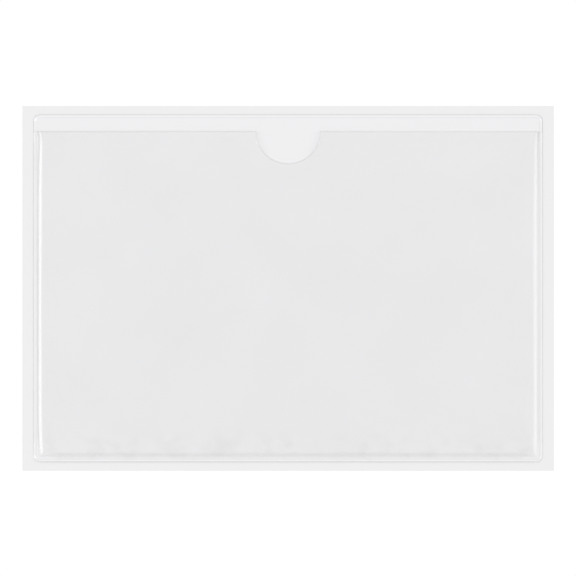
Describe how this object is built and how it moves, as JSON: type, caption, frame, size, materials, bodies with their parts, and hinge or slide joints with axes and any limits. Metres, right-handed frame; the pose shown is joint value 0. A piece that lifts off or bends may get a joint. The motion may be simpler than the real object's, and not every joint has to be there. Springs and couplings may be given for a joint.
{
  "type": "adhesive label pocket",
  "caption": "Flat self-adhesive pocket with a clear front film over a white back film, open along the top with a half-round thumb notch, welded on three sides and backed by a sheet of release paper.",
  "frame": {"origin": "centre of the release liner's underside, the face that it lies on", "axes": "+X along the long side, to the right as the pocket is read; +Y towards the open mouth; +Z out of the face that is read"},
  "size_m": [0.166, 0.114, 0.0014],
  "materials": {
    "liner_paper": "white glazed release paper, smooth and nearly matt",
    "adhesive": "pale pressure-sensitive adhesive, tacky gloss",
    "back_film": "white soft film, smooth gloss",
    "front_film": "clear soft film, smooth gloss, with faint ripples"
  },
  "bodies": {
    "root": {"release_liner": "liner_paper", "adhesive_coat": "adhesive", "back_sheet": "back_film", "front_sheet": "front_film"}
  },
  "joints": []
}
